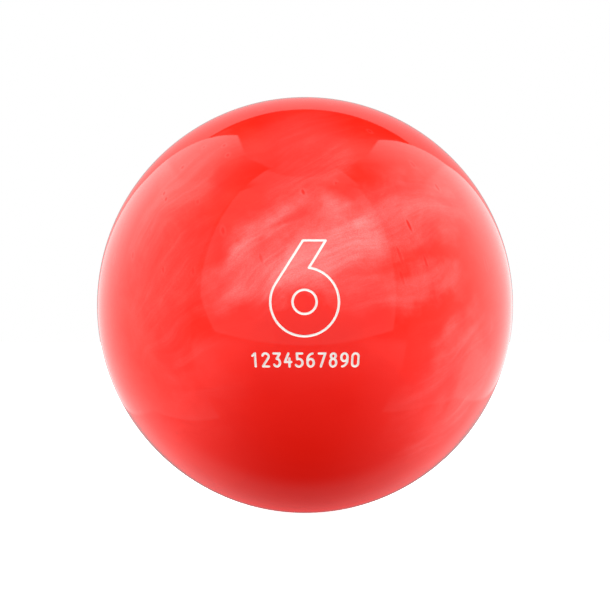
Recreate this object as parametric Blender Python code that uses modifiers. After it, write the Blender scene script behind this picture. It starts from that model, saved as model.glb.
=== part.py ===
"""A six-pound house bowling ball: cast pearl shell, filler core, pancake weight block and painted engraving.

Metres, +Z up. The ball's centre is the origin, the engraved label faces -Y and the grip is drilled around +Y.
"""

import math

import bmesh
import bpy
from mathutils import Vector

MM = 0.001

# Ball and shell
BALL_R = 108.6 * MM  # 8.55 in across, the middle of the regulation range
SHELL_T = 10.0 * MM  # cast pearl cover
FIT_GAP = 0.3 * MM  # between pieces that touch
SKIN_LEVELS = 5  # subdivisions of the outer skin
CORE_LEVELS = 4  # subdivisions of the core and of the cover's inside
CORE_R = BALL_R - SHELL_T - FIT_GAP

# Pancake weight block and its locator pin
BLOCK_R = 32.0 * MM
BLOCK_FLOOR = 83.0 * MM  # height of its flat face over the ball's centre, along +Y
PIN_R = 4.75 * MM
CG_R = 1.6 * MM
CG_DEPTH = 0.8 * MM
CG_OFFSET = -12.5 * MM  # down the grip's centre line from the pin
ROUND_STEPS = 32

# Grip, drilled for a small hand
THUMB_R = 9.5 * MM
THUMB_DEPTH = 46.0 * MM
FINGER_R = 8.0 * MM
FINGER_DEPTH = 41.0 * MM
SPAN = 63.5 * MM  # thumb edge to finger edge
BRIDGE = 9.5 * MM  # between the finger holes
FINGER_PITCH = 6.35 * MM  # the finger holes lean apart by this much at the ball's centre
RIM_DEPTH = 1.2 * MM
RIM_FLARE = 1.5 * MM
DRILL_POINT = 2.0 * MM  # the cone that the drill leaves at the bottom
CUT_OVER = 4.0 * MM  # how far a cutter stands out of the skin

# Engraving: a ball-nosed groove with paint in it
GROOVE_R = 0.60 * MM
PAINT_R = 0.48 * MM
TOOL_SINK = 0.15 * MM  # the cutter's centre runs this far under the skin
PAINT_SINK = 0.10 * MM  # the paint stops this far under the skin
TUBE_SIDES = 6
CAP_ANGLE = math.radians(55)  # where the one ring that rounds a stroke's end sits

# Outlined weight numeral, in millimetres along the skin from the label's centre
BOWL_X = -0.2
BOWL_Y = 1.5
BOWL_R = 16.0
COUNTER_R = 5.6
STEM_TOP = 30.5
STEM_LEFT = -1.0
STEM_W = 11.0

# One line of ten digits under it
SERIAL = "1234567890"
SERIAL_LATITUDE = math.radians(-13.6)
DIGIT_PITCH = 5.26
DIGIT_HALF_W = 1.45
DIGIT_HALF_H = 3.15
LOOP_HALF_H = 1.85  # half the height of the lower loop of 6 and 8
ARC_STEP = math.radians(30)
BOWL_STEP = math.radians(12)
LONGEST_CHORD = 5.5  # a longer straight run would dip under the curved skin



def clear_scene():
    for obj in list(bpy.data.objects):
        bpy.data.objects.remove(obj, do_unlink=True)
    for mesh in list(bpy.data.meshes):
        bpy.data.meshes.remove(mesh)


def make_collection(name):
    collection = bpy.data.collections.new(name)
    bpy.context.scene.collection.children.link(collection)
    return collection


def material(name, colour, roughness, metallic=0.0, coat=0.0):
    made = bpy.data.materials.new(name)
    made.use_nodes = True
    made.diffuse_color = (*colour, 1.0)
    shader = made.node_tree.nodes["Principled BSDF"]
    shader.inputs["Base Color"].default_value = (*colour, 1.0)
    shader.inputs["Roughness"].default_value = roughness
    shader.inputs["Metallic"].default_value = metallic
    shader.inputs["Coat Weight"].default_value = coat
    return made


def pearl_polyester():
    return material("pearl_polyester", (0.83, 0.045, 0.03), 0.12, coat=1.0)


def filled_resin():
    return material("filled_resin", (0.42, 0.37, 0.31), 0.75)


def heavy_resin():
    return material("heavy_resin", (0.10, 0.11, 0.13), 0.55)


def pin_polyester():
    return material("pin_polyester", (0.88, 0.62, 0.58), 0.2, coat=0.6)


def engraving_paint():
    return material("engraving_paint", (0.86, 0.87, 0.83), 0.45)


def link(name, mesh, collection):
    obj = bpy.data.objects.new(name, mesh)
    collection.objects.link(obj)
    return obj


def evaluated_mesh(obj):
    """The object's mesh with its modifiers in it, in world space."""
    bpy.context.view_layer.update()
    graph = bpy.context.evaluated_depsgraph_get()
    mesh = bpy.data.meshes.new_from_object(obj.evaluated_get(graph))
    mesh.transform(obj.matrix_world)
    edit = bmesh.new()
    edit.from_mesh(mesh)
    bmesh.ops.remove_doubles(edit, verts=edit.verts, dist=1e-7)
    bmesh.ops.recalc_face_normals(edit, faces=edit.faces)
    edit.to_mesh(mesh)
    edit.free()
    return mesh


def baked(obj, name, collection):
    """Replaces the object by a plain mesh object of its evaluated shape."""
    mesh = evaluated_mesh(obj)
    bpy.data.objects.remove(obj, do_unlink=True)
    return link(name, mesh, collection)


def boolean(target, tool, operation):
    modifier = target.modifiers.new(operation.title() + " " + tool.name, "BOOLEAN")
    modifier.operation = operation
    modifier.solver = "EXACT"
    modifier.object = tool
    return modifier


def ball(name, radius, levels, collection):
    edit = bmesh.new()
    bmesh.ops.create_icosphere(edit, subdivisions=levels, radius=radius)
    mesh = bpy.data.meshes.new(name)
    edit.to_mesh(mesh)
    edit.free()
    return link(name, mesh, collection)


def turned(name, profile, axis, origin, collection):
    """A profile of (radius, height) pairs, outer side downwards, turned around an axis through origin."""
    mesh = bpy.data.meshes.new(name)
    points = [(radius, 0.0, height) for radius, height in profile]
    edges = [(i, i + 1) for i in range(len(points) - 1)]
    mesh.from_pydata(points, edges, [])
    obj = link(name, mesh, collection)
    screw = obj.modifiers.new("Turn", "SCREW")
    screw.axis = "Z"
    screw.steps = ROUND_STEPS
    screw.render_steps = ROUND_STEPS
    screw.use_merge_vertices = True
    screw.merge_threshold = 0.00001
    obj.rotation_mode = "QUATERNION"
    obj.rotation_quaternion = Vector((0, 0, 1)).rotation_difference(axis)
    obj.location = origin
    return baked(obj, name, collection)


def hole_cutter(name, radius, depth, mouth, aim, collection):
    """A drill with a cone point and a flared rim, going in at mouth towards aim."""
    axis = (mouth - aim).normalized()
    seat = math.sqrt(BALL_R**2 - radius**2) - BALL_R  # where the rim's plane lies against the skin
    over = CUT_OVER
    slope = RIM_FLARE / RIM_DEPTH
    profile = [
        (0.0, over),
        (radius + slope * (RIM_DEPTH + over - seat), over),
        (radius, seat - RIM_DEPTH),
        (radius, -depth),
        (0.0, -depth - DRILL_POINT),
    ]
    return turned(name, profile, axis, mouth, collection)


def grip_holes():
    """Name, radius, depth, mouth and aim of the three holes."""
    reach = SPAN + THUMB_R + FINGER_R
    half_angle = math.asin(reach / 2 / BALL_R)
    side = (BRIDGE / 2 + FINGER_R) / BALL_R
    rise = math.sin(half_angle)
    depth = math.cos(half_angle)
    holes = [("thumb_hole", THUMB_R, THUMB_DEPTH, Vector((0, depth, -rise)) * BALL_R, Vector())]
    for name, sign in (("finger_hole_a", -1), ("finger_hole_b", 1)):
        out = Vector((sign * side, depth, rise)).normalized()
        aim = Vector((sign * FINGER_PITCH, 0, 0))
        holes.append((name, FINGER_R, FINGER_DEPTH, out * BALL_R, aim))
    return holes


def arc(x, y, half_w, half_h, start, end, step=ARC_STEP):
    """Points on an ellipse between two angles in degrees, both ends included."""
    start = math.radians(start)
    end = math.radians(end)
    steps = max(2, math.ceil(abs(end - start) / step - 0.001))
    angles = [start + (end - start) * i / steps for i in range(steps + 1)]
    return [(x + half_w * math.cos(a), y + half_h * math.sin(a)) for a in angles]


def digit_strokes(digit):
    """The smooth strokes of a digit, around the centre of its cell. A stroke that ends where it began is a loop."""
    w = DIGIT_HALF_W
    h = DIGIT_HALF_H
    low = LOOP_HALF_H
    loop = arc(0, low - h, w, low, 0, 360)
    if digit == "0":
        return [arc(0, h - w, w, w, 0, 180) + arc(0, w - h, w, w, 180, 360) + [(w, h - w)]]
    if digit == "1":
        return [[(-0.7 * w, 0.62 * h), (0.2 * w, h)], [(0.2 * w, h), (0.2 * w, -h)]]
    if digit == "2":
        return [arc(0, h - w, w, w, 165, -35) + [(-w, -h)], [(-w, -h), (w, -h)]]
    if digit == "3":
        bowl = arc(0, low - h, w, low, 90, -150)
        return [[(-w, h), (w, h)], [(w, h), (0, 2 * low - h)], bowl]
    if digit == "4":
        return [
            [(0.1 * w, h), (-w, -0.3 * h)],
            [(-w, -0.3 * h), (w, -0.3 * h)],
            [(0.45 * w, 0.25 * h), (0.45 * w, -h)],
        ]
    if digit == "5":
        bowl = arc(-0.15 * w, low - h, 1.15 * w, low, 115, -145)
        return [[(0.9 * w, h), (-0.8 * w, h)], [(-0.8 * w, h), bowl[0]], bowl]
    if digit == "6":
        return [loop, [(-w, low - h)] + arc(0.9 * w, 0.1 * h, 1.9 * w, 0.9 * h, 172, 100)]
    if digit == "7":
        return [[(-w, h), (w, h)], [(w, h), (-0.3 * w, -h)]]
    if digit == "8":
        top = h - 0.78 * w
        waist = 2 * low - h
        arch = [(-0.35 * w, waist)] + arc(0, top, 0.78 * w, 0.78 * w, 215, -35) + [(0.35 * w, waist)]
        return [loop, arch]
    upper = [(-x, -y) for x, y in loop]
    tail = [(w, h - low)] + [(-x, -y) for x, y in arc(0.9 * w, 0.1 * h, 1.9 * w, 0.9 * h, 172, 100)]
    return [upper, tail]


def numeral_outline():
    """The outer line of the outlined 6: a round bowl, a leaning stem tangent to it, and a level top."""
    left = Vector((STEM_LEFT, STEM_TOP))
    centre = Vector((BOWL_X, BOWL_Y))
    reach = left - centre
    lean = math.atan2(reach.y, reach.x)
    tangent = lean + math.acos(BOWL_R / reach.length)
    touch = centre + BOWL_R * Vector((math.cos(tangent), math.sin(tangent)))
    along = (left - touch).normalized()
    right = left + Vector((STEM_W, 0))
    back = (right - centre).dot(along)
    foot = right - centre - back * along
    to_bowl = back - math.sqrt(BOWL_R**2 - foot.length_squared)
    meet = right - to_bowl * along
    start = math.degrees(math.atan2(meet.y - centre.y, meet.x - centre.x))
    end = math.degrees(tangent) - 360
    bowl = arc(centre.x, centre.y, BOWL_R, BOWL_R, start, end, BOWL_STEP)
    return [bowl + [tuple(left)], [tuple(left), tuple(right)], [tuple(right), tuple(meet)]]


def numeral_counter():
    """The inner line of the outlined 6: a ring around the bowl's centre."""
    return [arc(BOWL_X, BOWL_Y, COUNTER_R, COUNTER_R, 0, 360)]


def with_short_chords(stroke):
    """The same stroke, with each long straight run split so that it can follow the ball."""
    path = [stroke[0]]
    for (x0, y0), (x1, y1) in zip(stroke, stroke[1:]):
        count = math.ceil(math.hypot(x1 - x0, y1 - y0) / LONGEST_CHORD)
        path += [(x0 + (x1 - x0) * i / count, y0 + (y1 - y0) * i / count) for i in range(1, count + 1)]
    return path


def on_skin(x, y, latitude):
    """A point under the skin, x and y millimetres along it from the label's centre line at a latitude."""
    east = x * MM / (BALL_R * math.cos(latitude))
    north = latitude + y * MM / BALL_R
    radius = BALL_R - TOOL_SINK
    return radius * Vector(
        (math.cos(north) * math.sin(east), -math.cos(north) * math.cos(east), math.sin(north))
    )


def tube(name, points, radius, collection):
    """A round tube along points, with ball ends. A path that ends where it began closes on itself."""
    closed = (points[0] - points[-1]).length < 0.01 * MM
    path = [(p, 1.0) for p in (points[:-1] if closed else points)]
    if not closed:
        for end, before in ((0, 1), (-1, -2)):
            out = (points[end] - points[before]).normalized()
            cap = [(points[end] + out * radius * math.sin(CAP_ANGLE), math.cos(CAP_ANGLE))]
            path = cap + path if end == 0 else path + cap
    curve = bpy.data.curves.new(name, "CURVE")
    curve.dimensions = "3D"
    curve.bevel_depth = radius
    curve.bevel_resolution = (TUBE_SIDES - 4) // 2
    curve.use_fill_caps = not closed
    spline = curve.splines.new("POLY")
    spline.points.add(len(path) - 1)
    for point, (place, share) in zip(spline.points, path):
        point.co = (*place, 1.0)
        point.radius = share
    spline.use_cyclic_u = closed
    obj = link(name, curve, collection)
    return baked(obj, name, collection)


def engraved(name, strokes, offset, latitude, radius, collection):
    """The solid that a round tool of this radius sweeps along the strokes of one glyph."""
    tubes = []
    for number, stroke in enumerate(strokes):
        points = [on_skin(x + offset, y, latitude) for x, y in with_short_chords(stroke)]
        tubes.append(tube(f"{name}_stroke_{number}", points, radius, collection))
    whole = tubes[0]
    for other in tubes[1:]:
        boolean(whole, other, "UNION")
    whole = baked(whole, name, collection)
    for other in tubes[1:]:
        bpy.data.objects.remove(other, do_unlink=True)
    return whole


def glyphs():
    """Node name, strokes, sideways offset and latitude of each engraved glyph."""
    found = [
        ("weight_numeral_outline", numeral_outline(), 0.0, 0.0),
        ("weight_numeral_counter", numeral_counter(), 0.0, 0.0),
    ]
    for place, digit in enumerate(SERIAL):
        offset = (place - (len(SERIAL) - 1) / 2) * DIGIT_PITCH
        name = f"serial_digit_{place + 1:02d}"
        found.append((name, digit_strokes(digit), offset, SERIAL_LATITUDE))
    return found


def as_cutter(obj):
    obj.hide_render = True
    obj.display_type = "WIRE"
    return obj


def finish(obj, look, angle=30):
    """Its material, and smooth shading with creases left sharp."""
    obj.data.materials.clear()
    obj.data.materials.append(look)
    for polygon in obj.data.polygons:
        polygon.use_smooth = True
        polygon.material_index = 0
    obj.data.set_sharp_from_angle(angle=math.radians(angle))
    return obj


def coverstock(parts, cutters, holes):
    shell = ball("coverstock_blank", BALL_R, SKIN_LEVELS, parts)
    inside = as_cutter(ball("cover_inside", BALL_R - SHELL_T, CORE_LEVELS, cutters))
    boolean(shell, inside, "DIFFERENCE")
    for hole in holes:
        boolean(shell, hole, "DIFFERENCE")
    top = BALL_R + CUT_OVER
    pin_hole = [(0, top), (PIN_R, top), (PIN_R, CORE_R - 2 * MM), (0, CORE_R - 2 * MM)]
    pin_hole = turned("pin_hole", pin_hole, Vector((0, 1, 0)), Vector(), cutters)
    boolean(shell, as_cutter(pin_hole), "DIFFERENCE")
    boolean(shell, as_cutter(cg_punch("cg_punch", CG_R, CG_DEPTH, cutters)), "DIFFERENCE")
    for name, strokes, offset, latitude in glyphs():
        groove = engraved(name + "_groove", strokes, offset, latitude, GROOVE_R, cutters)
        boolean(shell, as_cutter(groove), "DIFFERENCE")
    return baked(shell, "coverstock", parts)


def cg_punch(name, radius, depth, collection):
    """A short round punch through the skin beside the pin."""
    out = Vector((0, math.sqrt(BALL_R**2 - CG_OFFSET**2), CG_OFFSET)).normalized()
    profile = [(0, CUT_OVER), (radius, CUT_OVER), (radius, -depth), (0, -depth)]
    return turned(name, profile, out, out * BALL_R, collection)


def filler_core(parts, cutters, holes):
    core = ball("core_blank", CORE_R, CORE_LEVELS, parts)
    top = BALL_R + CUT_OVER
    floor = BLOCK_FLOOR - FIT_GAP
    radius = BLOCK_R + FIT_GAP
    pocket = [(0, top), (radius, top), (radius, floor), (0, floor)]
    pocket = turned("block_pocket", pocket, Vector((0, 1, 0)), Vector(), cutters)
    boolean(core, as_cutter(pocket), "DIFFERENCE")
    for hole in holes:
        boolean(core, hole, "DIFFERENCE")
    return baked(core, "filler_core", parts)


def weight_block(parts, cutters, holes):
    top = BALL_R + CUT_OVER
    disc = [(0, top), (BLOCK_R, top), (BLOCK_R, BLOCK_FLOOR), (0, BLOCK_FLOOR)]
    disc = turned("block_blank", disc, Vector((0, 1, 0)), Vector(), parts)
    dome = as_cutter(ball("block_dome", CORE_R, CORE_LEVELS, cutters))
    boolean(disc, dome, "INTERSECT")
    for hole in holes:
        boolean(disc, hole, "DIFFERENCE")
    return baked(disc, "weight_block", parts)


def locator_pin(parts, cutters):
    radius = PIN_R - FIT_GAP
    top = BALL_R + CUT_OVER
    foot = BALL_R - SHELL_T + 0.2 * MM
    pin = [(0, top), (radius, top), (radius, foot), (0, foot)]
    pin = turned("pin_blank", pin, Vector((0, 1, 0)), Vector(), parts)
    skin = as_cutter(ball("pin_skin", BALL_R, SKIN_LEVELS, cutters))
    boolean(pin, skin, "INTERSECT")
    return baked(pin, "locator_pin", parts)


def paint_pieces(parts, cutters):
    """The paint in each groove and in the punched mark, levelled just under the skin."""
    level = as_cutter(ball("paint_level", BALL_R - PAINT_SINK, SKIN_LEVELS, cutters))
    made = []
    for name, strokes, offset, latitude in glyphs():
        paint = engraved(name + "_blank", strokes, offset, latitude, PAINT_R, parts)
        boolean(paint, level, "INTERSECT")
        made.append(baked(paint, name, parts))
    gap = GROOVE_R - PAINT_R
    dot = cg_punch("cg_blank", CG_R - gap, CG_DEPTH - gap, parts)
    boolean(dot, level, "INTERSECT")
    made.append(baked(dot, "cg_mark_fill", parts))
    return made


def main():
    clear_scene()
    parts = make_collection("bowling_ball")
    cutters = make_collection("cutters")
    holes = [as_cutter(hole_cutter(*hole, cutters)) for hole in grip_holes()]
    finish(coverstock(parts, cutters, holes), pearl_polyester())
    finish(filler_core(parts, cutters, holes), filled_resin())
    finish(weight_block(parts, cutters, holes), heavy_resin())
    finish(locator_pin(parts, cutters), pin_polyester())
    paint = engraving_paint()
    for piece in paint_pieces(parts, cutters):
        finish(piece, paint)


main()
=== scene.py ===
"""The bowling ball dressed for the camera: polished pearl cover, painted engraving and a drilled grip."""

import math

import bmesh
import bpy
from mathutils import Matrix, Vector


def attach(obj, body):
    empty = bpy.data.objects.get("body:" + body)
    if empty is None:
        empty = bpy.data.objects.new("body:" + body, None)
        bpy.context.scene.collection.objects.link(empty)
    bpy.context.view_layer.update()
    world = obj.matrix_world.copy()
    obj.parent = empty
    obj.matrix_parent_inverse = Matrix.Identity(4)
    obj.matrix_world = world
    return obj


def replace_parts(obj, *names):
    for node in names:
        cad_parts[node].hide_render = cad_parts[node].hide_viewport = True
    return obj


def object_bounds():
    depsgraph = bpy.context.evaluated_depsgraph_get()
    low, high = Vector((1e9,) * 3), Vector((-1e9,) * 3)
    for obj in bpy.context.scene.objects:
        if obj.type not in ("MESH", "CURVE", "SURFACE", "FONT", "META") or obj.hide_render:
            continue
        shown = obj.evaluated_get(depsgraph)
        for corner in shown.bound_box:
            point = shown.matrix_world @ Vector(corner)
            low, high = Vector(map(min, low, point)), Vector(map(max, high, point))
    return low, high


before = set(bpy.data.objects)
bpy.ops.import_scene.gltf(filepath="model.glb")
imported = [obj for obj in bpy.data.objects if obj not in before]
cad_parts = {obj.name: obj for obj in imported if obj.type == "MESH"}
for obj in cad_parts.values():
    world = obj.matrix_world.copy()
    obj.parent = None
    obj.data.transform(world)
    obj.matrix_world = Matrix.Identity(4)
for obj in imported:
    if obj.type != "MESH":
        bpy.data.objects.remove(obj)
CAD_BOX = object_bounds()

MM = 0.001

# ---------------------------------------------------------------- sizes, the same as the CAD's
BALL_R = (CAD_BOX[1].z - CAD_BOX[0].z) / 2
SHELL_T = 10.0 * MM
FIT_GAP = 0.3 * MM
CORE_R = BALL_R - SHELL_T - FIT_GAP
BLOCK_R = 32.0 * MM
BLOCK_FLOOR = 83.0 * MM
PIN_R = 4.75 * MM
CG_R = 1.6 * MM
CG_DEPTH = 0.8 * MM
CG_OFFSET = -12.5 * MM
THUMB_R = 9.5 * MM
THUMB_DEPTH = 46.0 * MM
FINGER_R = 8.0 * MM
FINGER_DEPTH = 41.0 * MM
SPAN = 63.5 * MM
BRIDGE = 9.5 * MM
FINGER_PITCH = 6.35 * MM
RIM_FLARE = 1.5 * MM
DRILL_POINT = 2.0 * MM

# ---------------------------------------------------------------- cutting and smoothing
CUT_OVER = 4.0 * MM
PIN_SEAM = 0.12 * MM
PIN_HOLE_OVER = 2 * MM
PIN_FOOT_GAP = 0.2 * MM
POLISH_DEPTH = 3.2 * MM
RIM_R = 1.7 * MM
RIM_TURN = math.radians(74)
RIM_STEPS = 9
WALL_STEPS = 12
ROUND_STEPS = 96
SKIN_LEVELS = 6
CORE_LEVELS = 5
AXIS_MERGE = 0.001 * MM
WELD = 0.0001 * MM
ON_SKIN = 0.004 * MM
CREASE = 32
PAINT_CREASE = 50
BACK = Vector((0, 1, 0))

# ---------------------------------------------------------------- engraving
GROOVE_R = 0.575 * MM
TOOL_SINK = 0.10 * MM
DISH_R = 1.05 * MM
DISH_LIFT = 0.72 * MM
PAINT_SINK = 0.05 * MM
# Found by trial: of six gaps from 0.0118 to 0.0130 mm, only this one leaves every fill closed and whole.
PAINT_TRIM = 0.0121 * MM
CG_ROUND = 0.25 * MM
CG_PAINT_SINK = 0.2 * MM
TUBE_SIDES = 20
CAP_TURNS = (25, 50, 70, 84)
MEETING = 0.01 * MM
BOWL_X = -0.2
BOWL_Y = 1.5
BOWL_R = 16.0
COUNTER_R = 5.6
STEM_TOP = 30.5
STEM_LEFT = -1.0
STEM_W = 11.0
SERIAL = "1234567890"
SERIAL_LATITUDE = math.radians(-13.6)
DIGIT_PITCH = 5.26
DIGIT_HALF_W = 1.45
DIGIT_HALF_H = 3.15
LOOP_HALF_H = 1.85
ARC_STEP = math.radians(9)
BOWL_STEP = math.radians(4)
LONGEST_CHORD = 1.2

# ---------------------------------------------------------------- camera and floor
LENS = 100.2
SENSOR = 36
CAMERA_DISTANCE = 0.893
FLOOR_HALF = 4.0
FLOOR_GAP = 0.2 * MM


# ================================================================ mesh helpers
def link(name, data):
    obj = bpy.data.objects.new(name, data)
    bpy.context.scene.collection.objects.link(obj)
    return obj


def evaluated_mesh(obj):
    """The mesh that the object's modifiers make, welded, in world coordinates."""
    bpy.context.view_layer.update()
    graph = bpy.context.evaluated_depsgraph_get()
    mesh = bpy.data.meshes.new_from_object(obj.evaluated_get(graph))
    mesh.transform(obj.matrix_world)
    edit = bmesh.new()
    edit.from_mesh(mesh)
    bmesh.ops.remove_doubles(edit, verts=edit.verts, dist=WELD)
    bmesh.ops.recalc_face_normals(edit, faces=edit.faces)
    edit.to_mesh(mesh)
    edit.free()
    return mesh


def baked(obj, name):
    """A new object in place of this one, with its modifiers applied."""
    mesh = evaluated_mesh(obj)
    data = obj.data
    bpy.data.objects.remove(obj, do_unlink=True)
    if data.users == 0:
        (bpy.data.curves if isinstance(data, bpy.types.Curve) else bpy.data.meshes).remove(data)
    made = link(name, mesh)
    made.data.name = name
    return made


def boolean(target, tool, operation):
    modifier = target.modifiers.new(operation, "BOOLEAN")
    modifier.operation = operation
    modifier.solver = "EXACT"
    modifier.object = tool


def discard(*objs):
    for obj in objs:
        bpy.data.objects.remove(obj, do_unlink=True)


def ball(name, radius, levels):
    edit = bmesh.new()
    bmesh.ops.create_icosphere(edit, subdivisions=levels, radius=radius)
    mesh = bpy.data.meshes.new(name)
    edit.to_mesh(mesh)
    edit.free()
    return link(name, mesh)


def turned(name, profile, axis, origin):
    """The solid that a profile of (radius, height) points sweeps round an axis."""
    mesh = bpy.data.meshes.new(name)
    points = [(radius, 0.0, height) for radius, height in profile]
    mesh.from_pydata(points, [(i, i + 1) for i in range(len(points) - 1)], [])
    obj = link(name, mesh)
    screw = obj.modifiers.new("Turn", "SCREW")
    screw.axis = "Z"
    screw.steps = ROUND_STEPS
    screw.render_steps = ROUND_STEPS
    screw.use_merge_vertices = True
    screw.merge_threshold = AXIS_MERGE
    obj.rotation_mode = "QUATERNION"
    obj.rotation_quaternion = Vector((0, 0, 1)).rotation_difference(axis)
    obj.location = origin
    return baked(obj, name)


def plug(name, radius, floor):
    """A round plug towards the back, from this far out of the ball's centre to clear of the skin."""
    top = BALL_R + CUT_OVER
    return turned(name, [(0, top), (radius, top), (radius, floor), (0, floor)], BACK, Vector())


# ================================================================ grip
def grip_holes():
    """Name, radius, depth, mouth and the point that the drill aims at, for each of the three holes."""
    reach = SPAN + THUMB_R + FINGER_R
    half_angle = math.asin(reach / 2 / BALL_R)
    side = (BRIDGE / 2 + FINGER_R) / BALL_R
    rise = math.sin(half_angle)
    depth = math.cos(half_angle)
    holes = [("thumb", THUMB_R, THUMB_DEPTH, Vector((0, depth, -rise)) * BALL_R, Vector())]
    for name, sign in (("finger_a", -1), ("finger_b", 1)):
        out = Vector((sign * side, depth, rise)).normalized()
        holes.append((name, FINGER_R, FINGER_DEPTH, out * BALL_R, Vector((sign * FINGER_PITCH, 0, 0))))
    return holes


def hole_cutter(name, radius, depth, mouth, aim):
    """A drill with a cone point, and a rim rounded over to meet the skin."""
    axis = (mouth - aim).normalized()
    seat = math.sqrt(BALL_R**2 - (radius + RIM_FLARE) ** 2) - BALL_R
    angles = [RIM_TURN * i / RIM_STEPS for i in range(RIM_STEPS, -1, -1)]
    rim = [(radius + RIM_R * (1 - math.cos(a)), seat - RIM_R + RIM_R * math.sin(a)) for a in angles]
    top = (rim[0][0] + (CUT_OVER - rim[0][1]) * math.tan(RIM_TURN), CUT_OVER)
    wall = [(radius, seat - RIM_R - (depth + seat - RIM_R) * i / WALL_STEPS) for i in range(1, WALL_STEPS)]
    profile = [(0.0, CUT_OVER), top, *rim, *wall, (radius, -depth), (0.0, -depth - DRILL_POINT)]
    return turned(name, profile, axis, mouth)


# ================================================================ engraving
def arc(x, y, half_w, half_h, start, end, step=ARC_STEP):
    """Points along an ellipse's arc, in millimetres, between two angles in degrees."""
    start = math.radians(start)
    end = math.radians(end)
    steps = max(2, math.ceil(abs(end - start) / step - 0.001))
    angles = [start + (end - start) * i / steps for i in range(steps + 1)]
    return [(x + half_w * math.cos(a), y + half_h * math.sin(a)) for a in angles]


def digit_strokes(digit):
    """The strokes of one digit about its own middle, in millimetres."""
    w = DIGIT_HALF_W
    h = DIGIT_HALF_H
    low = LOOP_HALF_H
    loop = arc(0, low - h, w, low, 0, 360)
    if digit == "0":
        return [arc(0, h - w, w, w, 0, 180) + arc(0, w - h, w, w, 180, 360) + [(w, h - w)]]
    if digit == "1":
        return [[(-0.7 * w, 0.62 * h), (0.2 * w, h)], [(0.2 * w, h), (0.2 * w, -h)]]
    if digit == "2":
        return [arc(0, h - w, w, w, 165, -35) + [(-w, -h)], [(-w, -h), (w, -h)]]
    if digit == "3":
        bowl = arc(0, low - h, w, low, 90, -150)
        return [[(-w, h), (w, h)], [(w, h), (0, 2 * low - h)], bowl]
    if digit == "4":
        return [
            [(0.1 * w, h), (-w, -0.3 * h)],
            [(-w, -0.3 * h), (w, -0.3 * h)],
            [(0.45 * w, 0.25 * h), (0.45 * w, -h)],
        ]
    if digit == "5":
        bowl = arc(-0.15 * w, low - h, 1.15 * w, low, 115, -145)
        return [[(0.9 * w, h), (-0.8 * w, h)], [(-0.8 * w, h), bowl[0]], bowl]
    if digit == "6":
        return [loop, [(-w, low - h)] + arc(0.9 * w, 0.1 * h, 1.9 * w, 0.9 * h, 172, 100)]
    if digit == "7":
        return [[(-w, h), (w, h)], [(w, h), (-0.3 * w, -h)]]
    if digit == "8":
        top = h - 0.78 * w
        waist = 2 * low - h
        arch = [(-0.35 * w, waist)] + arc(0, top, 0.78 * w, 0.78 * w, 215, -35) + [(0.35 * w, waist)]
        return [loop, arch]
    upper = [(-x, -y) for x, y in loop]
    tail = [(w, h - low)] + [(-x, -y) for x, y in arc(0.9 * w, 0.1 * h, 1.9 * w, 0.9 * h, 172, 100)]
    return [upper, tail]


def numeral_outline():
    """One line round a 6: its bowl, its slanted stem along a tangent, its flat top and its inner edge."""
    left = Vector((STEM_LEFT, STEM_TOP))
    centre = Vector((BOWL_X, BOWL_Y))
    reach = left - centre
    tangent = math.atan2(reach.y, reach.x) + math.acos(BOWL_R / reach.length)
    touch = centre + BOWL_R * Vector((math.cos(tangent), math.sin(tangent)))
    along = (left - touch).normalized()
    right = left + Vector((STEM_W, 0))
    back = (right - centre).dot(along)
    foot = right - centre - back * along
    meet = right - (back - math.sqrt(BOWL_R**2 - foot.length_squared)) * along
    start = math.degrees(math.atan2(meet.y - centre.y, meet.x - centre.x))
    end = math.degrees(tangent) - 360
    bowl = arc(centre.x, centre.y, BOWL_R, BOWL_R, start, end, BOWL_STEP)
    return [bowl + [tuple(left)], [tuple(left), tuple(right)], [tuple(right), tuple(meet)]]


def glyphs():
    """Name, strokes, offset to the right and latitude of everything engraved."""
    counter = arc(BOWL_X, BOWL_Y, COUNTER_R, COUNTER_R, 0, 360, BOWL_STEP * 2)
    found = [
        ("weight_numeral_outline", numeral_outline(), 0.0, 0.0),
        ("weight_numeral_counter", [counter], 0.0, 0.0),
    ]
    for place, digit in enumerate(SERIAL):
        offset = (place - (len(SERIAL) - 1) / 2) * DIGIT_PITCH
        found.append((f"serial_digit_{place + 1:02d}", digit_strokes(digit), offset, SERIAL_LATITUDE))
    return found


def with_short_chords(stroke):
    path = [stroke[0]]
    for (x0, y0), (x1, y1) in zip(stroke, stroke[1:]):
        count = max(1, math.ceil(math.hypot(x1 - x0, y1 - y0) / LONGEST_CHORD))
        path += [(x0 + (x1 - x0) * i / count, y0 + (y1 - y0) * i / count) for i in range(1, count + 1)]
    return path


def on_skin(x, y, latitude, radius):
    """The drawing's point (x, y), in millimetres, wrapped round the front of the ball."""
    east = x * MM / (BALL_R * math.cos(latitude))
    north = latitude + y * MM / BALL_R
    return radius * Vector(
        (math.cos(north) * math.sin(east), -math.cos(north) * math.cos(east), math.sin(north))
    )


def tube(name, points, radius):
    """A round tube along these points, rounded off at its ends or closed on itself."""
    closed = (points[0] - points[-1]).length < MEETING
    path = [(p, 1.0) for p in (points[:-1] if closed else points)]
    if not closed:
        for end, before in ((0, 1), (-1, -2)):
            out = (points[end] - points[before]).normalized()
            cap = [
                (points[end] + out * radius * math.sin(math.radians(a)), math.cos(math.radians(a)))
                for a in CAP_TURNS
            ]
            path = cap[::-1] + path if end == 0 else path + cap
    curve = bpy.data.curves.new(name, "CURVE")
    curve.dimensions = "3D"
    curve.bevel_depth = radius
    curve.bevel_resolution = (TUBE_SIDES - 4) // 2
    curve.use_fill_caps = not closed
    spline = curve.splines.new("POLY")
    spline.points.add(len(path) - 1)
    for point, (place, share) in zip(spline.points, path):
        point.co = (*place, 1.0)
        point.radius = share
    spline.use_cyclic_u = closed
    return baked(link(name, curve), name)


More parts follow.
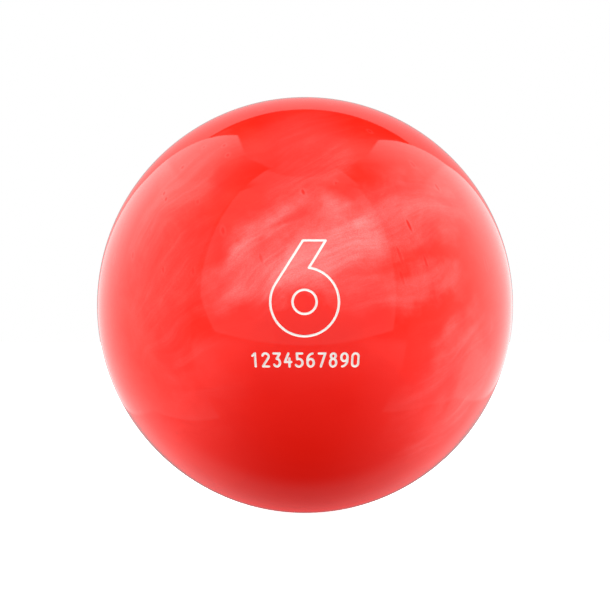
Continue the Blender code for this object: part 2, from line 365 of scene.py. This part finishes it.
def stroke_tubes(name, strokes, offset, latitude, radius, lift):
    """What a round tool of this radius sweeps along each stroke, its centre lifted this far from the skin."""
    tubes = []
    for number, stroke in enumerate(strokes):
        points = [on_skin(x + offset, y, latitude, BALL_R + lift) for x, y in with_short_chords(stroke)]
        tubes.append(tube(f"{name}_{number}", points, radius))
    return tubes


def swept(name, *glyph):
    """The tubes of one glyph as one solid."""
    tubes = stroke_tubes(name, *glyph)
    whole = tubes[0]
    for other in tubes[1:]:
        boolean(whole, other, "UNION")
    whole = baked(whole, name)
    discard(*tubes[1:])
    return whole


def joined(name, objs):
    """Separate solids as one mesh object."""
    edit = bmesh.new()
    for obj in objs:
        edit.from_mesh(obj.data)
    mesh = bpy.data.meshes.new(name)
    edit.to_mesh(mesh)
    edit.free()
    discard(*objs)
    return link(name, mesh)


def cg_punch(name, radius, depth):
    """A flat-bottomed punch at the centre-of-gravity mark, with rounded corners."""
    out = Vector((0, math.sqrt(BALL_R**2 - CG_OFFSET**2), CG_OFFSET)).normalized()
    rim = CG_ROUND
    profile = [
        (0, CUT_OVER),
        (radius + CUT_OVER, CUT_OVER),
        (radius + 0.2 * rim, 0.1 * rim),
        (radius, -rim),
        (radius, -depth + rim),
        (radius - 0.3 * rim, -depth + 0.3 * rim),
        (radius - rim, -depth),
        (0, -depth),
    ]
    return turned(name, profile, out, out * BALL_R)


# ================================================================ pieces
def radial_normals(obj, radius):
    """Exact sphere normals on the faces of the polished skin, and creases where it meets a cut.

    It returns whether each face is skin."""
    mesh = obj.data
    mesh.update()
    for polygon in mesh.polygons:
        polygon.use_smooth = True
    lengths = [v.co.length for v in mesh.vertices]
    skin = [all(abs(lengths[i] - radius) < ON_SKIN for i in p.vertices) for p in mesh.polygons]
    edit = bmesh.new()
    edit.from_mesh(mesh)
    for edge in edit.edges:
        faces = edge.link_faces
        if len(faces) == 2:
            mixed = skin[faces[0].index] != skin[faces[1].index]
            edge.smooth = not (mixed or faces[0].normal.angle(faces[1].normal, 0) > math.radians(CREASE))
    edit.to_mesh(mesh)
    edit.free()
    normals = [(0.0, 0.0, 0.0)] * len(mesh.loops)
    for polygon in mesh.polygons:
        if skin[polygon.index]:
            for loop in polygon.loop_indices:
                normals[loop] = mesh.vertices[mesh.loops[loop].vertex_index].co.normalized()
    mesh.normals_split_custom_set(normals)
    return skin


def smooth(obj, angle=CREASE):
    for polygon in obj.data.polygons:
        polygon.use_smooth = True
    obj.data.set_sharp_from_angle(angle=math.radians(angle))
    return obj


def make_cover(holes, looks):
    """The shell, polished outside and drilled inside: looks holds the two materials in that order."""
    shell = ball("blank", BALL_R, SKIN_LEVELS)
    inside_ball = ball("inside", BALL_R - SHELL_T, CORE_LEVELS)
    pin_hole = plug("pin_hole", PIN_R - FIT_GAP + PIN_SEAM, CORE_R - PIN_HOLE_OVER)
    punch = cg_punch("punch", CG_R, CG_DEPTH)
    grooves = joined("grooves", [swept("g", s, o, lat, GROOVE_R, -TOOL_SINK) for _, s, o, lat in glyphs()])
    for tool in (inside_ball, *holes, pin_hole, punch, grooves):
        boolean(shell, tool, "DIFFERENCE")
    cover = baked(shell, "cover_skin")
    discard(inside_ball, pin_hole, punch, grooves)
    skin = radial_normals(cover, BALL_R)
    cover.data.materials.clear()
    for look in looks:
        cover.data.materials.append(look)
    for polygon in cover.data.polygons:
        deep = polygon.center.length < BALL_R - POLISH_DEPTH
        polygon.material_index = 1 if deep and not skin[polygon.index] else 0
    return cover


def make_core(holes, look):
    core = ball("core_blank", CORE_R, CORE_LEVELS)
    pocket = plug("pocket", BLOCK_R + FIT_GAP, BLOCK_FLOOR - FIT_GAP)
    boolean(core, pocket, "DIFFERENCE")
    for hole in holes:
        boolean(core, hole, "DIFFERENCE")
    core = baked(core, "core_filler")
    discard(pocket)
    core.data.materials.append(look)
    return smooth(core)


def make_block(holes, look):
    disc = plug("disc", BLOCK_R, BLOCK_FLOOR)
    dome = ball("dome", CORE_R, CORE_LEVELS)
    boolean(disc, dome, "INTERSECT")
    for hole in holes:
        boolean(disc, hole, "DIFFERENCE")
    block = baked(disc, "pancake_block")
    discard(dome)
    block.data.materials.append(look)
    return smooth(block)


def make_pin(look):
    pin = plug("pin", PIN_R - FIT_GAP, BALL_R - SHELL_T + PIN_FOOT_GAP)
    skin = ball("skin", BALL_R, SKIN_LEVELS)
    boolean(pin, skin, "INTERSECT")
    pin = baked(pin, "pin_plug")
    discard(skin)
    radial_normals(pin, BALL_R)
    pin.data.materials.append(look)
    return pin


def make_paint(look):
    """A film of paint in each groove, dished as it dries, and the dot in the punched mark."""
    level = ball("level", BALL_R - PAINT_SINK, SKIN_LEVELS)
    made = []
    for name, strokes, offset, latitude in glyphs():
        paint = swept("p", strokes, offset, latitude, GROOVE_R - PAINT_TRIM, -TOOL_SINK)
        dishes = stroke_tubes("d", strokes, offset, latitude, DISH_R, DISH_LIFT)
        boolean(paint, level, "INTERSECT")
        for dish in dishes:
            boolean(paint, dish, "DIFFERENCE")
            paint = baked(paint, "paint_" + name)
        discard(*dishes)
        paint.data.materials.append(look)
        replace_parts(smooth(paint, PAINT_CREASE), name)
        made.append(paint)
    dot = cg_punch("dot", CG_R - PAINT_TRIM, CG_DEPTH - PAINT_TRIM)
    lid = ball("lid", BALL_R - CG_PAINT_SINK, SKIN_LEVELS)
    boolean(dot, lid, "INTERSECT")
    dot = baked(dot, "paint_cg_mark")
    discard(lid, level)
    dot.data.materials.append(look)
    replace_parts(smooth(dot, PAINT_CREASE), "cg_mark_fill")
    made.append(dot)
    return made


# ================================================================ shader helpers
class Graph:
    """Short calls for building one node tree."""

    def __init__(self, tree):
        self.nodes = tree.nodes
        self.links = tree.links

    def put(self, socket, value):
        if isinstance(value, bpy.types.NodeSocket):
            self.links.new(value, socket)
        else:
            socket.default_value = value

    def math(self, operation, *values, clamp=False):
        node = self.nodes.new("ShaderNodeMath")
        node.operation = operation
        node.use_clamp = clamp
        for socket, value in zip(node.inputs, values):
            self.put(socket, value)
        return node.outputs[0]

    def vector(self, operation, a, b=None, scale=None):
        node = self.nodes.new("ShaderNodeVectorMath")
        node.operation = operation
        self.put(node.inputs[0], a)
        if b is not None:
            self.put(node.inputs[1], b)
        if scale is not None:
            self.put(node.inputs["Scale"], scale)
        return node.outputs["Value" if operation in ("DOT_PRODUCT", "LENGTH", "DISTANCE") else "Vector"]

    def step(self, value, low, high, to_low=0.0, to_high=1.0):
        """to_low up to low, to_high from high on, and a smooth change between them."""
        node = self.nodes.new("ShaderNodeMapRange")
        node.interpolation_type = "SMOOTHSTEP"
        self.put(node.inputs["Value"], value)
        for name, number in (("From Min", low), ("From Max", high), ("To Min", to_low), ("To Max", to_high)):
            self.put(node.inputs[name], number)
        return node.outputs["Result"]

    def noise(self, vector, scale, detail=3.0, roughness=0.5, distortion=0.0, colour=False):
        node = self.nodes.new("ShaderNodeTexNoise")
        self.put(node.inputs["Vector"], vector)
        node.inputs["Scale"].default_value = scale
        node.inputs["Detail"].default_value = detail
        node.inputs["Roughness"].default_value = roughness
        node.inputs["Distortion"].default_value = distortion
        return node.outputs["Color" if colour else "Fac"]

    def mix(self, share, a, b):
        """a where share is 0, b where it is 1, for colours."""
        node = self.nodes.new("ShaderNodeMix")
        node.data_type = "RGBA"
        self.put(node.inputs[0], share)
        for socket, value in ((node.inputs[6], a), (node.inputs[7], b)):
            if not isinstance(value, bpy.types.NodeSocket) and len(value) == 3:
                value = (*value, 1.0)
            self.put(socket, value)
        return node.outputs[2]

    def blend(self, share, a, b):
        """a where share is 0, b where it is 1, for numbers."""
        node = self.nodes.new("ShaderNodeMix")
        node.data_type = "FLOAT"
        self.put(node.inputs[0], share)
        self.put(node.inputs[2], a)
        self.put(node.inputs[3], b)
        return node.outputs[0]

    def bump(self, height, strength, distance):
        node = self.nodes.new("ShaderNodeBump")
        node.inputs["Strength"].default_value = strength
        node.inputs["Distance"].default_value = distance
        self.put(node.inputs["Height"], height)
        return node.outputs["Normal"]


def new_material(name):
    """A material, its graph, its main shader and the place on the object."""
    made = bpy.data.materials.new(name)
    made.use_nodes = True
    graph = Graph(made.node_tree)
    shader = made.node_tree.nodes["Principled BSDF"]
    place = graph.nodes.new("ShaderNodeTexCoord").outputs["Object"]
    return made, graph, shader, place


def direction(azimuth, elevation):
    """Azimuth 0 is towards -Y and 90 towards +X; elevation is above the horizon, in degrees."""
    a = math.radians(azimuth)
    e = math.radians(elevation)
    return Vector((math.cos(e) * math.sin(a), -math.cos(e) * math.cos(a), math.sin(e)))


# ================================================================ looks
DEEP_RED = (0.84, 0.0070, 0.0012)
BRIGHT_RED = (0.92, 0.0105, 0.0016)
PEARL_PINK = (0.99, 0.230, 0.222)
# The pearl's strands fan out from this point of the skin, which lies to the left of the front.
FLOW_POLE = Vector((-0.88, -0.33, -0.34)).normalized()
STRAND_DRIFT = 0.30
STRAND_WAVE = 0.03
STRAND_BREAK = 0.16
BROAD_SCALE = 5.5
FINE_SCALE = 16.0
HAIR_SCALE = 60.0
CURL_SCALE = 7.0
CLOUD_SCALE = 3.2
CLOUD_DRIFT = 0.55
CLOUD_FRAY = 0.25
MICA_SCALE = 1900
FRONT_SHARE = 0.045
BACK_SHARE = 0.20
MOST_PEARL = 0.85
# Painted shade low on the front, where the red is painted deepest and the pearl thinnest.
SHADE_POOL_CENTRE = Vector((-0.01, -0.80, -0.60))
SHADE_POOL_INNER = 0.25
SHADE_POOL_OUTER = 0.85
# Where the pearl gathers: (x, z) on the front of a unit ball, slope in degrees, half length, half width
# and share.
CLOUDS = [
    ((0.00, 0.23), 20, 0.42, 0.30, 0.72),
    ((-0.24, 0.12), 24, 0.30, 0.16, 0.34),
    ((0.42, 0.40), 14, 0.48, 0.24, 0.34),
    ((0.46, 0.07), 14, 0.42, 0.12, 0.24),
    ((0.02, 0.62), 60, 0.30, 0.20, 0.12),
    ((-0.62, 0.30), 78, 0.70, 0.28, 0.15),
    ((-0.45, -0.40), 70, 0.34, 0.24, 0.14),
    ((0.66, -0.38), 60, 0.46, 0.30, 0.38),
    ((0.00, -0.05), 60, 0.17, 0.11, -0.30),
]
TICK_WAY = Vector((-0.30, 0.0, 0.95)).normalized()
TICK_LENGTH = 0.060
TICK_WIDTH = 0.009
TICK_HALO = 2.2
TICK_CELLS = 6.5
TICK_CHANCE = 0.34


def cloud_reach(graph, unit, x, z, slope, length, width):
    """1 in the middle of a drawn-out cloud on the front of the unit ball, falling to 0 at its edge."""
    out = Vector((x, -math.sqrt(1 - x * x - z * z), z))
    turn = math.radians(slope)
    across = Vector((-math.sin(turn), 0, math.cos(turn)))
    across = (across - across.dot(out) * out).normalized()
    along = across.cross(out)
    offset = graph.vector("SUBTRACT", unit, tuple(out))
    reach = 0.0
    for way, size in ((along, length), (across, width), (out, length)):
        part = graph.vector("DOT_PRODUCT", offset, tuple(way / size))
        reach = graph.math("MULTIPLY_ADD", part, part, reach)
    return graph.step(reach, 0.0, 1.0, 1.0, 0.0)


def ticks(graph, unit, width):
    """1 on short marks that all run one way, one in about a third of a Voronoi pattern's cells; 0 elsewhere."""
    cells = graph.nodes.new("ShaderNodeTexVoronoi")
    cells.inputs["Scale"].default_value = TICK_CELLS
    graph.links.new(unit, cells.inputs["Vector"])
    drawn = graph.nodes.new("ShaderNodeSeparateColor")
    graph.links.new(cells.outputs["Color"], drawn.inputs[0])
    kept = graph.step(drawn.outputs[0], 1 - TICK_CHANCE, 1.04 - TICK_CHANCE)
    offset = graph.vector("SUBTRACT", unit, cells.outputs["Position"])
    out = graph.vector("NORMALIZE", unit)
    lift = graph.vector("SCALE", out, scale=graph.vector("DOT_PRODUCT", offset, out))
    flat = graph.vector("SUBTRACT", offset, lift)
    along = graph.vector("DOT_PRODUCT", flat, tuple(TICK_WAY))
    across = graph.vector("SUBTRACT", flat, graph.vector("SCALE", tuple(TICK_WAY), scale=along))
    across = graph.math("DIVIDE", graph.vector("LENGTH", across), width)
    along = graph.math("DIVIDE", along, TICK_LENGTH)
    reach = graph.math("MULTIPLY_ADD", along, along, graph.math("MULTIPLY", across, across))
    return graph.math("MULTIPLY", graph.step(reach, 0.15, 1.0, 1.0, 0.0), kept)


def strand_body(graph, unit, warp, ripple, cloud):
    """How thick the mica lies within a cloud: combed strands along the flow, curls at its two ends."""
    bent = graph.vector("ADD", unit, graph.vector("SCALE", warp, scale=CLOUD_DRIFT))
    flow = graph.vector("ADD", unit, graph.vector("SCALE", warp, scale=STRAND_DRIFT))
    flow = graph.vector("ADD", flow, graph.vector("SCALE", ripple, scale=STRAND_WAVE))
    # Strands run along the lines that leave one point of the skin.
    along = graph.vector("DOT_PRODUCT", flow, tuple(FLOW_POLE))
    across = graph.vector("SUBTRACT", flow, graph.vector("SCALE", tuple(FLOW_POLE), scale=along))
    across = graph.vector("NORMALIZE", across)
    comb = graph.vector("ADD", across, graph.vector("SCALE", flow, scale=STRAND_BREAK))
    broad = graph.step(graph.noise(comb, BROAD_SCALE, 3.0, 0.55), 0.40, 0.62)
    fine = graph.step(graph.noise(comb, FINE_SCALE, 4.0, 0.65), 0.38, 0.66)
    hair = graph.step(graph.noise(comb, HAIR_SCALE, 3.0, 0.6), 0.38, 0.64)
    strands = graph.math("MULTIPLY_ADD", fine, 0.50, graph.math("MULTIPLY_ADD", hair, 0.18, 0.32))
    body = graph.math("MULTIPLY", strands, graph.math("MULTIPLY_ADD", broad, 0.75, 0.15))
    # Where the strands would all meet, loose curls take their place.
    curls = graph.noise(bent, CURL_SCALE, 4.0, 0.65, distortion=0.8)
    curls = graph.step(curls, 0.38, 0.68, 0.1, 0.65)
    near_end = graph.step(along, 0.78, 0.95)
    far_end = graph.step(along, -0.80, -0.35, 1.0, 0.0)
    body = graph.blend(graph.math("MAXIMUM", near_end, far_end), body, curls)
    return graph.math("MULTIPLY_ADD", cloud, 0.40, body, clamp=True)


def pearl_amount(graph, unit, ripple, y, clear):
    """How much pearl lies at each place: clouds in front, an even share behind, little in the painted shade low
    on the front.
    """
    behind = graph.step(y, -0.35, 0.30)
    frayed = graph.vector("ADD", unit, graph.vector("SCALE", ripple, scale=CLOUD_FRAY))
    amount = graph.math("MULTIPLY_ADD", behind, BACK_SHARE, FRONT_SHARE)
    for (px, pz), slope, length, width, share in CLOUDS:
        reach = cloud_reach(graph, frayed, px, pz, slope, length, width)
        amount = graph.math("MULTIPLY_ADD", reach, share, amount)
    amount = graph.math("MAXIMUM", graph.math("MINIMUM", amount, MOST_PEARL), 0.0)
    # Painted shade: less pearl low on the front, where clear is high.
    return graph.math("MULTIPLY", amount, graph.math("MULTIPLY_ADD", clear, -0.85, 1.0))


def pearl_colour(graph, place):
    """Cast pearl: mica clouds and combed strands in a clear red resin, with painted shade low on the front, as
    colour and as a share of pearl.
    """
    unit = graph.vector("SCALE", place, scale=1 / BALL_R)
    parts = graph.nodes.new("ShaderNodeSeparateXYZ")
    graph.links.new(unit, parts.inputs[0])
    _, y, z = parts.outputs
    warp = graph.vector("SUBTRACT", graph.noise(unit, 1.8, 2.0, colour=True), (0.5, 0.5, 0.5))
    ripple = graph.vector("SUBTRACT", graph.noise(unit, 7.0, 3.0, colour=True), (0.5, 0.5, 0.5))
    bent = graph.vector("ADD", unit, graph.vector("SCALE", warp, scale=CLOUD_DRIFT))
    cloud = graph.step(graph.noise(bent, CLOUD_SCALE, 5.0, 0.60), 0.40, 0.66)
    body = strand_body(graph, unit, warp, ripple, cloud)
    # Painted shade low on the front: clear is 1 in its middle and 0 beyond its edge.
    from_shade_pool = graph.vector("DISTANCE", unit, tuple(SHADE_POOL_CENTRE))
    clear = graph.step(from_shade_pool, SHADE_POOL_INNER, SHADE_POOL_OUTER, 1.0, 0.0)
    amount = pearl_amount(graph, unit, ripple, y, clear)
    mica = graph.step(graph.noise(place, MICA_SCALE, 2.0, 0.7), 0.35, 0.65, 0.82, 1.18)
    grained = graph.math("MULTIPLY", amount, mica)
    pearl = graph.math("MULTIPLY", graph.math("MULTIPLY_ADD", body, 0.85, 0.15), grained)
    high = graph.step(z, -0.05, 0.30)
    dark = graph.math("MULTIPLY", ticks(graph, unit, TICK_WIDTH), high)
    light = graph.math("MULTIPLY", ticks(graph, unit, TICK_WIDTH * TICK_HALO), high)
    pearl = graph.math("MULTIPLY_ADD", light, 0.05, pearl)
    pearl = graph.math("MULTIPLY", pearl, graph.math("MULTIPLY_ADD", dark, -0.92, 1.0), clamp=True)
    # Painted shade: a deeper red low on the front, where clear is high.
    warmth = graph.math("MULTIPLY_ADD", clear, -0.8, 1.0)
    warmth = graph.math("MULTIPLY", graph.step(cloud, -0.4, 0.7), warmth)
    warmth = graph.math("MULTIPLY", warmth, graph.math("MULTIPLY_ADD", dark, -0.8, 1.0))
    colour = graph.mix(warmth, DEEP_RED, BRIGHT_RED)
    return graph.mix(pearl, colour, PEARL_PINK), pearl


def polished_pearl():
    made, graph, shader, place = new_material("polished_pearl")
    colour, pearl = pearl_colour(graph, place)
    graph.put(shader.inputs["Base Color"], colour)
    graph.put(shader.inputs["Metallic"], graph.math("MULTIPLY", pearl, 0.12))
    shader.inputs["Roughness"].default_value = 0.42
    shader.inputs["Specular IOR Level"].default_value = 0.0
    shader.inputs["Coat Weight"].default_value = 1.0
    shader.inputs["Coat Roughness"].default_value = 0.012
    shader.inputs["Coat IOR"].default_value = 1.5
    return made


def drilled_pearl():
    made, graph, shader, place = new_material("drilled_pearl")
    colour, _ = pearl_colour(graph, place)
    graph.put(shader.inputs["Base Color"], colour)
    grain = graph.noise(place, 900, 3.0)
    graph.put(shader.inputs["Roughness"], graph.blend(grain, 0.35, 0.6))
    graph.put(shader.inputs["Normal"], graph.bump(grain, 0.5, 0.0002))
    return made


def fill_paint():
    made, graph, shader, place = new_material("fill_paint")
    mottle = graph.noise(place, 700, 3.0)
    colour = graph.mix(mottle, (0.84, 0.84, 0.80), (0.93, 0.94, 0.90))
    graph.put(shader.inputs["Base Color"], colour)
    graph.put(shader.inputs["Roughness"], graph.blend(mottle, 0.42, 0.62))
    graph.put(shader.inputs["Normal"], graph.bump(graph.noise(place, 2600, 2.0), 0.35, 0.00005))
    return made


def cast_filler():
    made, graph, shader, place = new_material("cast_filler")
    grains = graph.noise(place, 1400, 2.0)
    clouds = graph.noise(place, 60, 4.0)
    colour = graph.mix(graph.step(grains, 0.45, 0.6), (0.36, 0.31, 0.25), (0.52, 0.46, 0.38))
    colour = graph.mix(graph.math("MULTIPLY", clouds, 0.45), colour, (0.28, 0.23, 0.19))
    graph.put(shader.inputs["Base Color"], colour)
    graph.put(shader.inputs["Roughness"], graph.blend(grains, 0.65, 0.9))
    graph.put(shader.inputs["Normal"], graph.bump(grains, 0.6, 0.0002))
    return made


def dense_resin():
    made, graph, shader, place = new_material("dense_resin")
    grains = graph.noise(place, 1000, 3.0)
    colour = graph.mix(grains, (0.05, 0.055, 0.07), (0.14, 0.145, 0.16))
    graph.put(shader.inputs["Base Color"], colour)
    graph.put(shader.inputs["Roughness"], graph.blend(grains, 0.4, 0.65))
    graph.put(shader.inputs["Normal"], graph.bump(grains, 0.4, 0.0002))
    return made


def pin_resin():
    made, graph, shader, place = new_material("pin_resin")
    clouds = graph.noise(place, 180, 4.0, distortion=0.6)
    colour = graph.mix(clouds, (0.78, 0.40, 0.36), (0.95, 0.80, 0.77))
    graph.put(shader.inputs["Base Color"], colour)
    shader.inputs["Roughness"].default_value = 0.3
    shader.inputs["Coat Weight"].default_value = 1.0
    shader.inputs["Coat Roughness"].default_value = 0.015
    return made


# ================================================================ studio
def pale_floor():
    made = bpy.data.materials.new("pale_floor")
    made.use_nodes = True
    shader = made.node_tree.nodes["Principled BSDF"]
    shader.inputs["Base Color"].default_value = (0.9, 0.9, 0.9, 1.0)
    shader.inputs["Roughness"].default_value = 1.0
    shader.inputs["Specular IOR Level"].default_value = 0.0
    shader.inputs["Emission Color"].default_value = (1, 1, 1, 1)
    shader.inputs["Emission Strength"].default_value = 1.0
    return made


# What the ball sees around it, as edges between directions (azimuth, elevation). Each panel has a
# direction towards its middle, and the edges that bound it; an edge with more than one line bends outwards.
LEFT_PANEL = (
    (-100, 0),
    [
        [((-58, 73), (-62, 2))],
        [((-62, 2), (-74, -48))],
        [((-58, 73), (-101, 68)), ((-101, 68), (-144, 56))],
        [((-144, 56), (-153, 20)), ((-153, 20), (-166, -8))],
        [((-77, -52), (-111, -39)), ((-111, -39), (-124, -30)), ((-124, -30), (-165, -8))],
    ],
)
RIGHT_PANEL = (
    (100, 0),
    [
        [((55, 75), (55.5, 2))],
        [((55.5, 2), (63, -46))],
        [((56, 75), (81, 71)), ((81, 71), (109, 66)), ((109, 66), (136, 57.5))],
        [((138, 57), (149, 27)), ((149, 27), (168, -6))],
        [((67, -51), (94, -39.5)), ((94, -39.5), (115, -29)), ((115, -29), (154, -12))],
    ],
)
LEFT_LAMP = ((-100, 0), [[((-84, 53), (-116, 42)), ((-116, 42), (-154, 25))]])
RIGHT_LAMP = ((100, 0), [[((65, 56), (103, 45)), ((103, 45), (148, 28))]])
FRONT_SCREEN = (
    (0, 0),
    [
        [((-60, 57), (-57.5, 5))],
        [((-57.5, 5), (-50, -12.5))],
        [((53.5, 59), (48.5, -12))],
        [((-60, 57), (-35, 68))],
        [((-35, 68), (30, 68.5))],
        [((30, 68), (53.5, 59))],
        [((-50, -12.5), (-8, -21))],
        [((-8, -21), (14, -20.6))],
        [((14, -20.6), (48.5, -12))],
    ],
)
# Each side panel with its lamp's edge, its light beside the ball, what that gains for each unit towards
# the back, and the light high up at the back.
SIDE_PANELS = (
    (LEFT_PANEL, LEFT_LAMP, 0.68, 0.46, 1.52),
    (RIGHT_PANEL, RIGHT_LAMP, 0.76, 0.62, 1.66),
)
PANEL_SOFT = 0.008
LAMP_SOFT = 0.012
SCREEN_SOFT = 0.010
BACK_WALL_TOP = 46
WALL_LIGHT = 0.56
ROOM_LIGHT = 0.36
ROOM_CEILING = 0.90
ROOM_OVERHEAD = 0.58
SCREEN_LIGHT = 0.82
FLOOR_RED = 1.45
# What lights the ball's own colour: from above, from both sides and from all round.
SOFT_TOP = 1.45
SOFT_SIDES = 4.1
SOFT_ROUND = 0.10
WORLD_MAP = 512


def inside(graph, look, panel, soft):
    """1 where the direction look is inside the panel, 0 outside."""
    middle = direction(*panel[0])
    share = None
    for bend in panel[1]:
        best = None
        for one, other in bend:
            edge = direction(*one).cross(direction(*other)).normalized()
            if edge.dot(middle) < 0:
                edge = -edge
            side = graph.step(graph.vector("DOT_PRODUCT", look, tuple(edge)), -soft, soft)
            best = side if best is None else graph.math("MAXIMUM", best, side)
        share = best if share is None else graph.math("MULTIPLY", share, best)
    return share


def ceiling_light(graph, x, y, z):
    """Bright overhead, falling off towards the back and its corners."""
    light = graph.step(y, 0.10, 0.72, 0.62, 0.06)
    slant = graph.math("DIVIDE", graph.math("ABSOLUTE", x), graph.math("MAXIMUM", z, 0.001))
    corner = graph.math("MULTIPLY", graph.step(slant, 0.05, 0.30), graph.step(y, 0.10, 0.50))
    return graph.math("MULTIPLY", light, graph.math("MULTIPLY_ADD", corner, -0.65, 1.0))


def floor_light(graph, x, y, z):
    """Dark under the ball and in front of it, and lit from the panels at the sides."""
    across = graph.math("MULTIPLY", x, x)
    down = graph.math("MULTIPLY_ADD", z, z, 0.0001)
    share = graph.math("DIVIDE", across, graph.math("ADD", across, down))
    behind = graph.step(y, 0.25, 0.55, 0.07, 0.22)
    sides = graph.math("MULTIPLY_ADD", share, 0.84, behind)
    sides = graph.math("MULTIPLY", sides, graph.step(y, 0.8, 0.95, 1.0, 0.75))
    front = graph.step(z, -0.85, -0.30, 0.18, 0.50)
    front = graph.math("MAXIMUM", front, graph.math("MULTIPLY", sides, 0.9))
    light = graph.blend(graph.step(y, -0.75, -0.05), front, sides)
    room_floor = graph.math("MULTIPLY", graph.step(z, -0.34, -0.24), graph.step(y, -0.3, 0.0, 1.0, 0.0))
    return graph.blend(room_floor, light, ROOM_LIGHT)


def side_light(graph, look, lamp, base, slope, peak, y, z):
    """A side panel's light, brightest above its lamp's edge and high up at the back."""
    plain_light = graph.math("MULTIPLY_ADD", y, slope, base)
    high = graph.math("MULTIPLY", graph.step(z, -0.35, 0.45), graph.step(y, -0.2, 0.7))
    lit = graph.blend(high, plain_light, peak)
    light = graph.math("MULTIPLY", lit, graph.blend(inside(graph, look, lamp, LAMP_SOFT), 0.84, 1.0))
    corner = graph.math("MULTIPLY", graph.step(z, 0.78, 0.94), graph.step(y, -0.2, 0.35, 1.0, 0.0))
    return graph.math("MULTIPLY", light, graph.math("MULTIPLY_ADD", corner, -0.55, 1.0))


def studio_light(graph, look, x, y, z):
    """The light that a polished skin mirrors from each direction: back, floor, room, side panels, screen."""
    edge = math.radians(BACK_WALL_TOP)
    above = graph.vector("DOT_PRODUCT", look, (0, -math.sin(edge), math.cos(edge)))
    upper = graph.blend(graph.step(above, -0.01, 0.01), WALL_LIGHT, ceiling_light(graph, x, y, z))
    horizon = graph.step(z, -0.12, 0.02)
    light = graph.blend(horizon, floor_light(graph, x, y, z), upper)
    ahead = graph.math("MULTIPLY", graph.step(y, -0.15, 0.1, 1.0, 0.0), horizon)
    room = graph.blend(graph.step(z, 0.86, 0.91), ROOM_LIGHT, ROOM_CEILING)
    room = graph.blend(graph.step(z, 0.945, 0.955), room, ROOM_OVERHEAD)
    light = graph.blend(ahead, light, room)
    for panel, lamp, base, slope, peak in SIDE_PANELS:
        own = side_light(graph, look, lamp, base, slope, peak, y, z)
        light = graph.blend(inside(graph, look, panel, PANEL_SOFT), light, own)
    return graph.blend(inside(graph, look, FRONT_SCREEN, SCREEN_SOFT), light, SCREEN_LIGHT)


def make_world():
    """White to the camera, a soft light to diffuse rays, and the studio to all others."""
    world = bpy.data.worlds.new("studio")
    bpy.context.scene.world = world
    world.use_nodes = True
    tree = world.node_tree
    tree.nodes.clear()
    graph = Graph(tree)
    look = tree.nodes.new("ShaderNodeTexCoord").outputs["Generated"]
    parts = tree.nodes.new("ShaderNodeSeparateXYZ")
    graph.links.new(look, parts.inputs[0])
    x, y, z = parts.outputs
    light = studio_light(graph, look, x, y, z)
    # The ball reddens the floor that it is seen against.
    red = graph.math("MAXIMUM", light, graph.step(z, -0.40, -0.12, FLOOR_RED, 0.0))
    seen = tree.nodes.new("ShaderNodeCombineColor")
    for socket, value in zip(seen.inputs, (red, light, light)):
        graph.links.new(value, socket)
    soft = graph.math("MULTIPLY_ADD", graph.math("MULTIPLY", x, x), SOFT_SIDES, SOFT_ROUND)
    soft = graph.math("MAXIMUM", graph.math("MULTIPLY_ADD", z, SOFT_TOP, soft), 0.0)
    paths = tree.nodes.new("ShaderNodeLightPath")
    studio = tree.nodes.new("ShaderNodeBackground")
    graph.links.new(graph.mix(paths.outputs["Is Diffuse Ray"], seen.outputs[0], soft), studio.inputs[0])
    backdrop = tree.nodes.new("ShaderNodeBackground")
    backdrop.inputs[0].default_value = (1, 1, 1, 1)
    mixed = tree.nodes.new("ShaderNodeMixShader")
    graph.links.new(paths.outputs["Is Camera Ray"], mixed.inputs[0])
    graph.links.new(studio.outputs[0], mixed.inputs[1])
    graph.links.new(backdrop.outputs[0], mixed.inputs[2])
    out = tree.nodes.new("ShaderNodeOutputWorld")
    graph.links.new(mixed.outputs[0], out.inputs[0])
    world.cycles.sampling_method = "MANUAL"
    world.cycles.sample_map_resolution = WORLD_MAP


def make_floor():
    mesh = bpy.data.meshes.new("floor")
    edit = bmesh.new()
    bmesh.ops.create_grid(edit, x_segments=1, y_segments=1, size=FLOOR_HALF)
    edit.to_mesh(mesh)
    edit.free()
    floor = link("floor", mesh)
    floor.location.z = CAD_BOX[0].z - FLOOR_GAP
    floor.data.materials.append(pale_floor())
    floor.visible_diffuse = False
    floor.visible_glossy = False


def make_camera():
    camera = bpy.data.cameras.new("camera")
    camera.lens = LENS
    camera.sensor_width = SENSOR
    camera.clip_start = 0.01
    camera.clip_end = 50
    obj = link("camera", camera)
    centre = (CAD_BOX[0] + CAD_BOX[1]) / 2
    obj.location = centre + Vector((0, -CAMERA_DISTANCE, 0))
    obj.rotation_euler = (math.radians(90), 0, 0)
    bpy.context.scene.camera = obj


def main():
    bpy.context.scene.view_settings.view_transform = "Standard"
    make_camera()
    make_world()
    make_floor()
    holes = [hole_cutter(*hole) for hole in grip_holes()]
    cover = make_cover(holes, [polished_pearl(), drilled_pearl()])
    core = make_core(holes, cast_filler())
    block = make_block(holes, dense_resin())
    pin = make_pin(pin_resin())
    paints = make_paint(fill_paint())
    discard(*holes)
    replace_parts(cover, "coverstock")
    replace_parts(core, "filler_core")
    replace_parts(block, "weight_block")
    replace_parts(pin, "locator_pin")
    slots = [(cover, "pearl_polyester"), (core, "filled_resin"), (block, "heavy_resin")]
    slots += [(pin, "pin_polyester")] + [(paint, "engraving_paint") for paint in paints]
    for piece, slot in slots:
        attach(piece, "root")


main()
